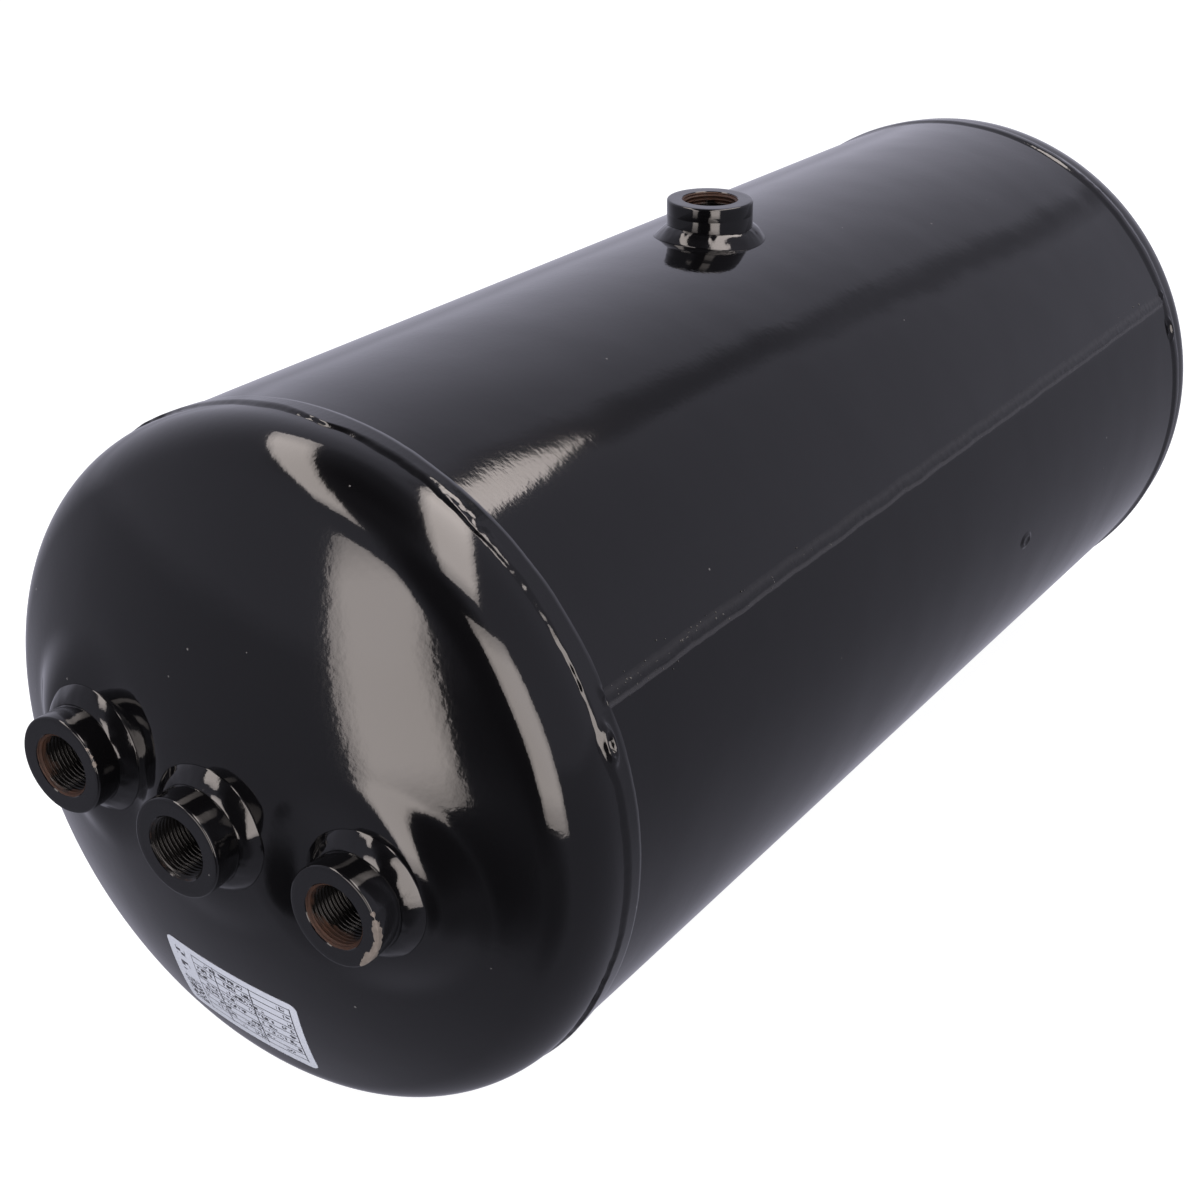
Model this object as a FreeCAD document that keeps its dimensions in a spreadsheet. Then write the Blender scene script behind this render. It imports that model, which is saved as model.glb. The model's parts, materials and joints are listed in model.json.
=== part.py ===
"""Welded cylindrical pressure reservoir with two dished heads and four threaded port bosses.

Frame: millimetres, origin on the axis at mid length, +X from the ported head to the plain head,
+Z up through the shell port.
"""
import FreeCAD, Part
import math
import os

import Sketcher

Vector = FreeCAD.Vector
Rotation = FreeCAD.Rotation
Placement = FreeCAD.Placement
X_AXIS = Vector(1, 0, 0)
Y_AXIS = Vector(0, 1, 0)
Z_AXIS = Vector(0, 0, 1)

# Driving dimensions, millimetres and degrees
SIZES = {
    "shell_radius": 123,
    "wall": 2.5,
    "seam_half_span": 240,
    "root_gap": 2,
    "seam_angle": 154.7,
    "seam_gap": 1.5,
    "seam_bead_width": 6,
    "seam_bead_height": 0.9,
    "girth_bead_width": 10,
    "girth_bead_height": 1.3,
    "head_flange": 8,
    "crown_radius": 246,
    "knuckle_radius": 24.6,
    "skirt_length": 14,
    "skirt_gap": 0.25,
    "joggle_run": 4,
    "port_spacing": 57.5,
    "port_row_angle": 7.5,
    "boss_radius": 17.25,
    "boss_height": 14,
    "boss_edge": 0.7,
    "bore_radius": 10.188,
    "mouth_radius": 11.4,
    "spigot_radius": 14,
    "spigot_length": 4.5,
    "spigot_overlap": 6,
    "hole_gap": 0.2,
    "boss_weld_width": 5,
    "boss_weld_height": 4.3,
    "boss_weld_root": 4,
    "boss_weld_depth": 3,
    "cutter_reach": 30,
    "label_width": 58,
    "label_height": 38,
    "label_drop": 83,
    "label_corner": 3,
    "label_thickness": 0.2,
}

doc = FreeCAD.newDocument("pressure_reservoir")
sheet = doc.addObject("Spreadsheet::Sheet", "Sizes")
for row, (alias, number) in enumerate(SIZES.items(), start=1):
    sheet.set(f"A{row}", alias)
    sheet.set(f"B{row}", str(number))
    sheet.setAlias(f"B{row}", alias)
doc.recompute()


def size(formula):
    """The number that a formula of sheet cells gives."""
    return float(sheet.evalExpression(formula))


def cell(name):
    """How an object's expression refers to one cell of the sheet."""
    return f"Sizes.{name}"


def bind(item, **formulas):
    """Bind properties of an object to formulas of sheet cells."""
    for name, formula in formulas.items():
        item.setExpression(name, formula)


# Formulas that several pieces share
R = cell("shell_radius")
WALL = cell("wall")
SHELL_END = f"({cell('seam_half_span')} - {cell('root_gap')} / 2)"
SHOULDER = cell("seam_half_span")
BEAD_START = f"({cell('seam_half_span')} - {cell('girth_bead_width')} / 2)"
BEAD_END = f"({cell('seam_half_span')} + {cell('girth_bead_width')} / 2)"
SKIRT = f"({R} - {WALL} - {cell('skirt_gap')})"
FLANGE_END = f"({cell('seam_half_span')} + {cell('head_flange')})"
HEAD_SPAN = f"({cell('crown_radius')} - {cell('knuckle_radius')})"
HEAD_SINE = f"(({R} - {cell('knuckle_radius')}) / {HEAD_SPAN})"
HEAD_COSINE = f"sqrt(1 - {HEAD_SINE} ^ 2)"
CROWN_CENTRE = f"({FLANGE_END} - {HEAD_SPAN} * {HEAD_COSINE})"


def new_body(label):
    body = doc.addObject("PartDesign::Body", label)
    body.Label = label
    return body


def new_sketch(body, name, plane, turn=None):
    """A sketch on one of the body's origin planes, turned about the plane's normal."""
    sketch = body.newObject("Sketcher::SketchObject", f"{body.Name}_{name}")
    support = [part for part in body.Origin.OriginFeatures if part.Role == plane][0]
    sketch.AttachmentSupport = (support, [""])
    sketch.MapMode = "FlatFace"
    if turn:
        sketch.AttachmentOffset = Placement(Vector(), Rotation(Z_AXIS, size(turn)))
    return sketch


def locate(sketch, edge, end, x, y):
    """Fix one end of an edge at formulas x and y."""
    for kind, formula, axis in (("DistanceX", x, -2), ("DistanceY", y, -1)):
        if formula == "0":
            sketch.addConstraint(Sketcher.Constraint("PointOnObject", edge, end, axis))
            continue
        rule = Sketcher.Constraint(kind, -1, 1, edge, end, size(formula))
        index = sketch.addConstraint(rule)
        sketch.setExpression(f"Constraints[{index}]", formula)


def bulge_centre(start, end, radius, side):
    """Centre of the short arc from start to end, on the left of the run when side is 1."""
    run = end - start
    left = Vector(-run.y, run.x, 0).normalize()
    reach = math.sqrt(radius ** 2 - run.Length ** 2 / 4)
    return (start + end) / 2 + left * side * reach


def outline(sketch, corners):
    """A closed outline of corners (x, y, radius, side).

    The radius and side belong to the arc that leads to the next corner; without them the edge
    is straight.
    """
    points = [Vector(size(corner[0]), size(corner[1]), 0) for corner in corners]
    starts, ends = [], []
    for number, corner in enumerate(corners):
        start, end = points[number], points[(number + 1) % len(points)]
        if len(corner) == 2:
            edge = sketch.addGeometry(Part.LineSegment(start, end), False)
            starts.append((edge, 1))
            ends.append((edge, 2))
            continue
        radius, side = corner[2:]
        centre = bulge_centre(start, end, size(radius), side)
        first, last = (start, end) if side == 1 else (end, start)
        angles = [math.atan2(point.y - centre.y, point.x - centre.x) for point in (first, last)]
        if angles[1] < angles[0]:
            angles[1] += 2 * math.pi
        circle = Part.Circle(centre, Z_AXIS, size(radius))
        edge = sketch.addGeometry(Part.ArcOfCircle(circle, *angles), False)
        starts.append((edge, 1 if side == 1 else 2))
        ends.append((edge, 2 if side == 1 else 1))
        index = sketch.addConstraint(Sketcher.Constraint("Radius", edge, size(radius)))
        sketch.setExpression(f"Constraints[{index}]", radius)
    for number, corner in enumerate(corners):
        sketch.addConstraint(Sketcher.Constraint("Coincident", *ends[number - 1], *starts[number]))
        locate(sketch, *starts[number], corner[0], corner[1])


def circles(sketch, *rings):
    """Circles given as formulas (x, y, radius)."""
    for x, y, radius in rings:
        place = Vector(size(x), size(y), 0)
        edge = sketch.addGeometry(Part.Circle(place, Z_AXIS, size(radius)), False)
        index = sketch.addConstraint(Sketcher.Constraint("Radius", edge, size(radius)))
        sketch.setExpression(f"Constraints[{index}]", radius)
        locate(sketch, edge, 3, x, y)


def revolve(body, sketch, axis):
    turn = body.newObject("PartDesign::Revolution", f"{sketch.Name}_turn")
    turn.Profile = sketch
    turn.ReferenceAxis = (sketch, [axis])
    turn.Angle = 360
    return turn


def pad(body, sketch, length, symmetric=False):
    block = body.newObject("PartDesign::Pad", f"{sketch.Name}_pad")
    block.Profile = sketch
    block.Midplane = symmetric
    bind(block, Length=length)
    return block


def cut_through(body, sketch, both_ways=False):
    """Cut from the sketch's plane along its normal, or to both sides, through everything."""
    doc.recompute()
    before = body.Shape.Volume
    pocket = body.newObject("PartDesign::Pocket", f"{sketch.Name}_cut")
    pocket.Profile = sketch
    pocket.Type = "ThroughAll"
    pocket.Reversed = not both_ways
    pocket.Midplane = both_ways
    doc.recompute()
    assert body.Shape.Volume < before, f"{sketch.Name} cuts nothing"
    return pocket


def make_shell():
    """Rolled sheet: a tube with a straight slit for the seam weld and a hole for the port."""
    body = new_body("shell")
    section = new_sketch(body, "section", "YZ_Plane")
    circles(section, ("0", "0", R), ("0", "0", f"{R} - {WALL}"))
    pad(body, section, f"2 * {SHELL_END}", symmetric=True)
    hole = new_sketch(body, "port_hole", "XY_Plane")
    circles(hole, ("0", "0", f"{cell('spigot_radius')} + {cell('hole_gap')}"))
    cut_through(body, hole)
    slit = new_sketch(body, "slit", "YZ_Plane", turn=cell("seam_angle"))
    low, high = f"-{cell('seam_gap')} / 2", f"{cell('seam_gap')} / 2"
    inside, outside = f"{R} - 2 * {WALL}", f"{R} + {WALL}"
    outline(slit, [(inside, low), (outside, low), (outside, high), (inside, high)])
    cut_through(body, slit, both_ways=True)
    return body


def make_seam_weld():
    """Straight seam: a root that fills the slit and a low bead on the outside."""
    body = new_body("shell_seam_weld")
    half_gap = f"{cell('seam_gap')} / 2"
    half_bead = f"{cell('seam_bead_width')} / 2"
    rise = cell("seam_bead_height")
    inner = f"({R} - {WALL})"
    root = new_sketch(body, "root", "YZ_Plane", turn=cell("seam_angle"))
    low_x = f"sqrt({inner} ^ 2 - ({half_gap}) ^ 2)"
    high_x = f"sqrt({R} ^ 2 - ({half_gap}) ^ 2)"
    outline(root, [(low_x, f"-{half_gap}"), (high_x, f"-{half_gap}", R, 1),
                   (high_x, half_gap), (low_x, half_gap, inner, -1)])
    pad(body, root, f"2 * {SHELL_END}", symmetric=True)
    bead = new_sketch(body, "bead", "YZ_Plane", turn=cell("seam_angle"))
    edge_x = f"sqrt({R} ^ 2 - ({half_bead}) ^ 2)"
    crown = f"(({half_bead}) ^ 2 + {rise} ^ 2) / (2 * {rise})"
    outline(bead, [(edge_x, f"-{half_bead}", crown, 1), (edge_x, half_bead, R, -1)])
    pad(body, bead, f"2 * {BEAD_START}", symmetric=True)
    return body


def make_head(label):
    """Torispherical head with a straight flange and a joggled skirt that slips into the shell."""
    body = new_body(label)
    profile = new_sketch(body, "profile", "XZ_Plane")
    crown, knuckle = cell("crown_radius"), cell("knuckle_radius")
    skirt_end = f"({SHOULDER} - {cell('skirt_length')})"
    joggle_end = f"({SHOULDER} + {cell('joggle_run')})"

    def blend(radius):
        """Point where the crown arc of this radius meets the knuckle arc."""
        return f"{CROWN_CENTRE} + ({radius}) * {HEAD_COSINE}", f"({radius}) * {HEAD_SINE}"

    outer, inner = crown, f"({crown} - {WALL})"
    outline(profile, [
        (f"{CROWN_CENTRE} + {outer}", "0", outer, 1),
        (*blend(outer), knuckle, 1),
        (FLANGE_END, R),
        (joggle_end, R),
        (SHOULDER, SKIRT),
        (skirt_end, SKIRT),
        (skirt_end, f"{SKIRT} - {WALL}"),
        (f"{SHOULDER} + {WALL}", f"{SKIRT} - {WALL}"),
        (f"{joggle_end} + {WALL}", f"{R} - {WALL}"),
        (FLANGE_END, f"{R} - {WALL}", f"{knuckle} - {WALL}", -1),
        (*blend(inner), inner, -1),
        (f"{CROWN_CENTRE} + {inner}", "0"),
    ])
    revolve(body, profile, "H_Axis")
    return body


def make_front_head():
    """Head at the ported end: three holes in a row through the crown."""
    body = make_head("front_head")
    holes = new_sketch(body, "port_holes", "YZ_Plane", turn=f"-{cell('port_row_angle')}")
    hole = f"{cell('spigot_radius')} + {cell('hole_gap')}"
    circles(holes, *((f"{step} * {cell('port_spacing')}" if step else "0", "0", hole)
                     for step in (-1, 0, 1)))
    cut_through(body, holes)
    body.Placement = Placement(Vector(), Rotation(Z_AXIS, 180))
    return body


def make_girth_weld(label, turn):
    """Ring weld that fills the joggle groove and stands a little proud of the shell."""
    body = new_body(label)
    profile = new_sketch(body, "profile", "XZ_Plane")
    half, rise = f"{cell('girth_bead_width')} / 2", cell("girth_bead_height")
    crown = f"(({half}) ^ 2 + {rise} ^ 2) / (2 * {rise})"
    outline(profile, [
        (BEAD_END, R, crown, 1),
        (BEAD_START, R),
        (SHELL_END, R),
        (SHELL_END, SKIRT),
        (SHOULDER, SKIRT),
        (f"{SHOULDER} + {cell('joggle_run')}", R),
    ])
    revolve(body, profile, "H_Axis")
    body.Placement = Placement(Vector(), Rotation(Z_AXIS, turn))
    return body


class Port:
    """Where one boss stands: a local frame with Z along the bore and Y along the row.

    Its origin is the point where the bore axis meets the outer surface. seat is the distance
    from there down to the level of the crown's centre or of the shell's axis.
    """

    def __init__(self, name, step, on_shell=False):
        self.name = name
        self.on_shell = on_shell
        self.offset = f"{step} * {cell('port_spacing')}"
        if on_shell:
            self.seat = R
            self.lean = 0
            self.placement = Placement(Vector(0, 0, size(R)), Rotation())
            return
        crown = cell("crown_radius")
        self.seat = f"sqrt({crown} ^ 2 - ({self.offset}) ^ 2)"
        self.lean = math.degrees(math.asin(size(f"({self.offset}) / {crown}")))
        row = Rotation(X_AXIS, size(cell("port_row_angle")))
        base = row.multVec(Vector(0, size(self.offset), 0))
        base.x = -size(f"{CROWN_CENTRE} + {self.seat}")
        self.placement = Placement(base, row * Rotation(Y_AXIS, -90))

    def carve_seat(self, body, lean=0):
        """Cut away what lies under the vessel's outer surface, in a frame leant about local X."""
        down = Vector(0, -size(self.offset), -size(self.seat))
        if self.on_shell:
            cutter = body.newObject("PartDesign::SubtractiveCylinder", f"{body.Name}_seat")
            bind(cutter, Radius=R, Height=f"2 * {cell('cutter_reach')}")
            start = down - X_AXIS * size(cell("cutter_reach"))
            cutter.Placement = Placement(start, Rotation(Y_AXIS, 90))
            return
        cutter = body.newObject("PartDesign::SubtractiveSphere", f"{body.Name}_seat")
        bind(cutter, Radius=cell("crown_radius"))
        # The sphere's poles and its seam face away from the port
        centre = Rotation(X_AXIS, lean).multVec(down)
        cutter.Placement = Placement(centre, Rotation(Y_AXIS, 90))


def make_boss(port):
    """Round boss with a tapped bore, its foot cut to the vessel and a spigot through the wall."""
    body = new_body(f"{port.name}_boss")
    top, edge, bore = cell("boss_height"), cell("boss_edge"), cell("bore_radius")
    mouth, radius = cell("mouth_radius"), cell("boss_radius")
    foot = f"-{cell('spigot_overlap')}"
    collar = new_sketch(body, "collar", "XZ_Plane")
    outline(collar, [
        (bore, foot),
        (radius, foot),
        (radius, f"{top} - {edge}"),
        (f"{radius} - {edge}", top),
        (mouth, top),
        (bore, f"{top} - ({mouth} - {bore})"),
    ])
    revolve(body, collar, "V_Axis")
    port.carve_seat(body)
    spigot = new_sketch(body, "spigot", "XZ_Plane")
    low, high = f"-{cell('spigot_length')} - {WALL}", cell("spigot_overlap")
    shank = cell("spigot_radius")
    outline(spigot, [(bore, low), (shank, low), (shank, high), (bore, high)])
    revolve(body, spigot, "V_Axis")
    body.Placement = port.placement
    return body


def make_boss_weld(port):
    """Fillet weld round a boss, square to the surface it stands on."""
    body = new_body(f"{port.name}_weld")
    radius, width = cell("boss_radius"), cell("boss_weld_width")
    rise, root = cell("boss_weld_height"), cell("boss_weld_root")
    depth = cell("boss_weld_depth")
    profile = new_sketch(body, "profile", "XZ_Plane")
    outline(profile, [
        (f"{radius} - {root}", f"-{depth}"),
        (f"{radius} + {width} + {depth} * {width} / {rise}", f"-{depth}"),
        (f"{radius} - {root}", f"{rise} + {root} * {rise} / {width}"),
    ])
    revolve(body, profile, "V_Axis")
    port.carve_seat(body, lean=port.lean)
    hole = body.newObject("PartDesign::SubtractiveCylinder", f"{body.Name}_hole")
    bind(hole, Radius=radius, Height=f"2 * {cell('cutter_reach')}")
    upright = Rotation(X_AXIS, port.lean)
    hole.Placement = Placement(upright.multVec(Z_AXIS) * -size(cell("cutter_reach")), upright)
    body.Placement = port.placement * Placement(Vector(), Rotation(X_AXIS, -port.lean))
    return body


def make_label():
    """Thin data label on the lower part of the ported head, square to the row of ports."""
    spheres = []
    for name, radius in (("label_face", f"{cell('crown_radius')} + {cell('label_thickness')}"),
                         ("label_back", cell("crown_radius"))):
        sphere = doc.addObject("Part::Sphere", name)
        bind(sphere, Radius=radius)
        sphere.setExpression("Placement.Base.x", f"-{CROWN_CENTRE}")
        spheres.append(sphere)
    skin = doc.addObject("Part::Cut", "label_skin")
    skin.Base, skin.Tool = spheres
    block = doc.addObject("Part::Box", "label_block")
    bind(block, Length=cell("crown_radius"), Width=cell("label_width"),
         Height=cell("label_height"))
    row = Rotation(X_AXIS, size(cell("port_row_angle")))
    corner = Vector(0, -size(cell("label_width")) / 2,
                    -size(cell("label_drop")) - size(cell("label_height")) / 2)
    shift = Vector(-size(f"{CROWN_CENTRE} + {cell('crown_radius')}"), 0, 0)
    block.Placement = Placement(shift + row.multVec(corner), row)
    doc.recompute()
    rounded = doc.addObject("Part::Fillet", "label_outline")
    rounded.Base = block
    long_edges = [number for number, edge in enumerate(block.Shape.Edges, start=1)
                  if round(abs(edge.tangentAt(edge.FirstParameter).x), 3) == 1]
    corner_radius = size(cell("label_corner"))
    rounded.Edges = [(number, corner_radius, corner_radius) for number in long_edges]
    label = doc.addObject("Part::Common", "data_label")
    label.Base, label.Tool = skin, rounded
    label.Label = "data_label"
    return label


# Left and right as seen by someone who faces the ported head
ports = [Port("front_port_left", 1), Port("front_port_centre", 0), Port("front_port_right", -1),
         Port("shell_port", 0, on_shell=True)]
nodes = [make_shell(), make_seam_weld(), make_front_head(), make_head("rear_head"),
         make_girth_weld("front_girth_weld", 180), make_girth_weld("rear_girth_weld", 0)]
for port in ports:
    nodes.append(make_boss(port))
    nodes.append(make_boss_weld(port))
nodes.append(make_label())
doc.recompute()

for item in doc.Objects:
    assert not {"Invalid", "Error"} & set(item.State), f"{item.Name} failed: {item.State}"
os.makedirs("parts", exist_ok=True)
for node in nodes:
    shape = node.Shape
    assert not shape.isNull() and shape.isValid(), f"{node.Label} has no valid shape"
    print(f"{node.Label}: {len(shape.Solids)} solid, {shape.Volume / 1000:.1f} cm3")
for node in nodes:
    node.Shape.exportStep(f"parts/{node.Label}.step")
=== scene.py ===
"""Looks of a welded reservoir: gloss black paint over rolled sheet, dished heads and weld beads."""
import json
from math import asin, atan2, copysign, cos, exp, hypot, pi, radians, sin, sqrt

import bmesh
import bpy
from mathutils import Matrix, Vector, noise


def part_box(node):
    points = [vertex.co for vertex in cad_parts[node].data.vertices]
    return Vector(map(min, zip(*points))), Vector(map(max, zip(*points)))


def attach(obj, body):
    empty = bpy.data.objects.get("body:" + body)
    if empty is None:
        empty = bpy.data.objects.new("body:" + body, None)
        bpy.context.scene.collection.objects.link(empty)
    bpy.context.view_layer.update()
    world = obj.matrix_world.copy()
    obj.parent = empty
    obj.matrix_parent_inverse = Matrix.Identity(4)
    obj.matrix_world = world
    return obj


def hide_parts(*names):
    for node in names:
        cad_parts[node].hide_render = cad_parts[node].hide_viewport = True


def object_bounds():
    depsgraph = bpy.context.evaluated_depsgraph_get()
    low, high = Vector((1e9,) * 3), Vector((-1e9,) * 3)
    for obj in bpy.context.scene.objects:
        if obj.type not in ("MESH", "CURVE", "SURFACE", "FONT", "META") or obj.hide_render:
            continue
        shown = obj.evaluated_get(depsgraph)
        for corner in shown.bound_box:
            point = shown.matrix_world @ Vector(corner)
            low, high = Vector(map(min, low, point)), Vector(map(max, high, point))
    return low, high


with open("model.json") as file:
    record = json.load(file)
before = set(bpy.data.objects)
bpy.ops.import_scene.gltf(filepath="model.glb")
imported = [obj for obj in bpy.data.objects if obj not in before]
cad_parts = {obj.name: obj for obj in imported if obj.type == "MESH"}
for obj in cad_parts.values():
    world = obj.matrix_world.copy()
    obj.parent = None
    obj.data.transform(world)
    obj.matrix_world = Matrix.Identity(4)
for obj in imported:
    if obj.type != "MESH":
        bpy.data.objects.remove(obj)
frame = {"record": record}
cad_low, cad_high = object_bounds()

MM = 0.001
BODY = "root"
MOUNTS = {mount["name"]: mount for mount in frame["record"]["mounts"]}

# Sizes read from the frame
SHELL_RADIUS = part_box("shell")[1].z
SHELL_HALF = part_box("shell")[1].x
SKIRT_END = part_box("rear_head")[0].x
BEAD_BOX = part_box("rear_girth_weld")
SEAM_LINE = sum(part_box("shell_seam_weld"), Vector()) / 2
SEAM_ANGLE = atan2(SEAM_LINE.z, SEAM_LINE.y)
BORE_RADIUS = MOUNTS["shell_port"]["dims"]["r_mm"] * MM

# Dished heads
WALL = 2.5 * MM
CROWN_RADIUS = 246 * MM
KNUCKLE_RADIUS = 24.6 * MM
FLANGE_END = 248 * MM
SKIRT_RADIUS = 120.25 * MM
SHOULDER = (BEAD_BOX[0].x + BEAD_BOX[1].x) / 2
JOGGLE_RUN = 4 * MM

# Port bosses, their M22 x 1.5 threads and their welds
BOSS_RADIUS = 17.25 * MM
BOSS_HEIGHT = 14 * MM
SPIGOT_RADIUS = 14 * MM
SPIGOT_END = 7 * MM
MOUTH_RADIUS = 11.4 * MM
THREAD_RADIUS = 11.0 * MM
THREAD_PITCH = 1.5 * MM
WELD_WIDTH = 5.3 * MM
WELD_HEIGHT = 4.6 * MM


def smooth_step(value, low, high):
    """0 below low, 1 above high, and a smooth rise between them."""
    share = min(max((value - low) / (high - low), 0.0), 1.0)
    return share * share * (3 - 2 * share)


def hump(value, width):
    """1 at zero, falling smoothly to nothing some widths away."""
    return exp(-(value / width) ** 2)


def ring_noise(angle, detail, seed):
    """Smooth noise from -1 to 1 that meets itself after a full turn."""
    return noise.noise(Vector((detail * cos(angle), detail * sin(angle), seed)))


def turn_gap(angle, other):
    """Signed difference of two angles, from -pi to pi."""
    return (angle - other + pi) % (2 * pi) - pi


def around(x, angle, radius):
    """A point at a place along the tank, an angle round it from +Y towards +Z, and a radius."""
    return Vector((x, radius * cos(angle), radius * sin(angle)))


def new_object(name, points, faces, materials, smooth=True):
    """A mesh in the scene from points, faces and its materials."""
    mesh = bpy.data.meshes.new(name)
    mesh.from_pydata([tuple(point) for point in points], [], faces)
    mesh.update()
    for material in materials:
        mesh.materials.append(material)
    for face in mesh.polygons:
        face.use_smooth = smooth
    piece = bpy.data.objects.new(name, mesh)
    bpy.context.scene.collection.objects.link(piece)
    return piece


def grid_faces(rows, columns, close_rows=False, close_columns=True):
    """Quads between neighbouring points of a rows by columns grid."""
    faces = []
    for row in range(rows if close_rows else rows - 1):
        for column in range(columns if close_columns else columns - 1):
            after, beside = (row + 1) % rows, (column + 1) % columns
            faces.append((row * columns + column, row * columns + beside,
                          after * columns + beside, after * columns + column))
    return faces


def outward_faces(piece):
    """Turn all faces the same way, outward."""
    shape = bmesh.new()
    shape.from_mesh(piece.data)
    bmesh.ops.recalc_face_normals(shape, faces=shape.faces)
    shape.to_mesh(piece.data)
    shape.free()


def apply_modifiers(piece):
    """Make a piece's modified shape its own mesh."""
    graph = bpy.context.evaluated_depsgraph_get()
    mesh = bpy.data.meshes.new_from_object(piece.evaluated_get(graph))
    piece.modifiers.clear()
    piece.data = mesh


def spread_flat(piece, layer_name, flat):
    """Give a piece a layer of flat coordinates, one pair for each point."""
    layer = piece.data.uv_layers.new(name=layer_name)
    for loop in piece.data.loops:
        layer.data[loop.index].uv = flat[loop.vertex_index]


def give(piece, slot, *nodes):
    """Let a piece stand for CAD nodes and ride on the reservoir's one body."""
    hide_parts(*nodes)
    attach(piece, BODY)
    return piece


# ---------------------------------------------------------------- materials

def feed(tree, socket, value):
    """Link a socket to another node's output, or give it a constant."""
    if isinstance(value, bpy.types.NodeSocket):
        tree.links.new(value, socket)
    else:
        socket.default_value = value


def add_node(tree, kind, settings=(), **inputs):
    """A new shader node; inputs go by name, with _ for a space, or by number as _0, _1 and so on."""
    made = tree.nodes.new("ShaderNode" + kind)
    for name, value in dict(settings).items():
        setattr(made, name, value)
    for name, value in inputs.items():
        key = int(name[1:]) if name[1:].isdigit() else name.replace("_", " ")
        feed(tree, made.inputs[key], value)
    return made


def add_math(tree, operation, first, second=0.0):
    """The result of one sum."""
    return add_node(tree, "Math", {"operation": operation}, _0=first, _1=second).outputs[0]


def grey(level):
    """A colour of equal red, green and blue."""
    return (level, level, level)


class Shader:
    """A node material with a principled surface, built from short calls."""

    def __init__(self, name, **sockets):
        self.material = bpy.data.materials.new(name)
        self.material.use_nodes = True
        self.tree = self.material.node_tree
        self.surface = self.tree.nodes["Principled BSDF"]
        self.wear(**sockets)

    def wear(self, **sockets):
        """Feed the surface's own sockets."""
        for name, value in sockets.items():
            feed(self.tree, self.surface.inputs[name.replace("_", " ")], value)

    def node(self, kind, settings=(), **inputs):
        """A new node of this material."""
        return add_node(self.tree, kind, settings, **inputs)

    def math(self, operation, first, second=0.0):
        """The result of one sum in this material."""
        return add_math(self.tree, operation, first, second)

    def place(self):
        """The object's own coordinates, in metres."""
        return self.node("TexCoord").outputs["Object"]

    def stretched(self, scale):
        """The object's coordinates, each scaled by its own number."""
        return self.node("Mapping", Vector=self.place(), Scale=scale).outputs["Vector"]

    def noise(self, scale, detail=2.0, roughness=0.5, place=None):
        """Smooth noise from 0 to 1, in the object's coordinates unless others are given."""
        return self.node("TexNoise", Vector=place or self.place(), Scale=scale, Detail=detail,
                         Roughness=roughness).outputs["Fac"]

    def ramp(self, value, *stops):
        """A colour that changes with a value, by stops of (position, colour)."""
        made = self.node("ValToRGB", Fac=value)
        points = made.color_ramp.elements
        while len(points) < len(stops):
            points.new(0.5)
        for point, (position, colour) in zip(points, stops):
            point.position = position
            point.color = (*colour, 1)
        return made.outputs["Color"]

    def mix(self, share, first, second):
        """The first colour where share is 0, and the second where it is 1."""
        made = self.node("Mix", {"data_type": "RGBA"}, Factor=share)
        colours = [socket for socket in made.inputs if socket.type == "RGBA"]
        for socket, value in zip(colours, (first, second)):
            feed(self.tree, socket, value)
        return [socket for socket in made.outputs if socket.type == "RGBA"][0]

    def bump(self, *layers):
        """Layers of (height, depth in metres), one over the other."""
        normal = None
        for height, depth in layers:
            made = self.node("Bump", Height=height, Strength=1.0, Distance=depth)
            if normal:
                feed(self.tree, made.inputs["Normal"], normal)
            normal = made.outputs["Normal"]
        self.wear(Normal=normal)


BLACK = (0.0022, 0.0022, 0.0026, 1)
PAINT = dict(Base_Color=BLACK, Roughness=0.07, IOR=1.5)


def dust(shader):
    """Sparse pale specks that lie on black paint."""
    cells = shader.node("TexVoronoi", Vector=shader.place(), Scale=110.0)
    near = shader.math("LESS_THAN", cells.outputs["Distance"], 0.045)
    rare = shader.math("GREATER_THAN", shader.noise(37.0, 0.0), 0.64)
    speck = shader.math("MULTIPLY", near, rare)
    shader.wear(Base_Color=shader.mix(speck, BLACK, (0.09, 0.09, 0.09, 1)))


def sheet_paint(name, streaks, streak_depth, ripple_depth):
    """Gloss paint on sheet: fine orange peel over faint rolling streaks."""
    shader = Shader(name, **PAINT)
    dust(shader)
    peel = shader.noise(420.0, 2.0)
    waves = shader.noise(26.0, 1.0)
    streak = shader.noise(1.0, 3.0, 0.6, shader.stretched(streaks))
    ripples = shader.noise(90.0, 1.0)
    shader.bump((waves, 0.00035), (ripples, ripple_depth), (peel, 0.00002), (streak, streak_depth))
    haze = shader.noise(9.0, 4.0)
    shader.wear(Roughness=shader.ramp(haze, (0.35, grey(0.05)), (0.75, grey(0.085))))
    return shader.material


def weld_paint():
    """The same paint, thick over a weld's skin."""
    shader = Shader("weld_paint", **PAINT)
    lumps = shader.noise(240.0, 3.0, 0.6)
    pits = shader.noise(900.0, 2.0)
    shader.bump((lumps, 0.00004), (pits, 0.00001))
    dust(shader)
    return shader.material


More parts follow.
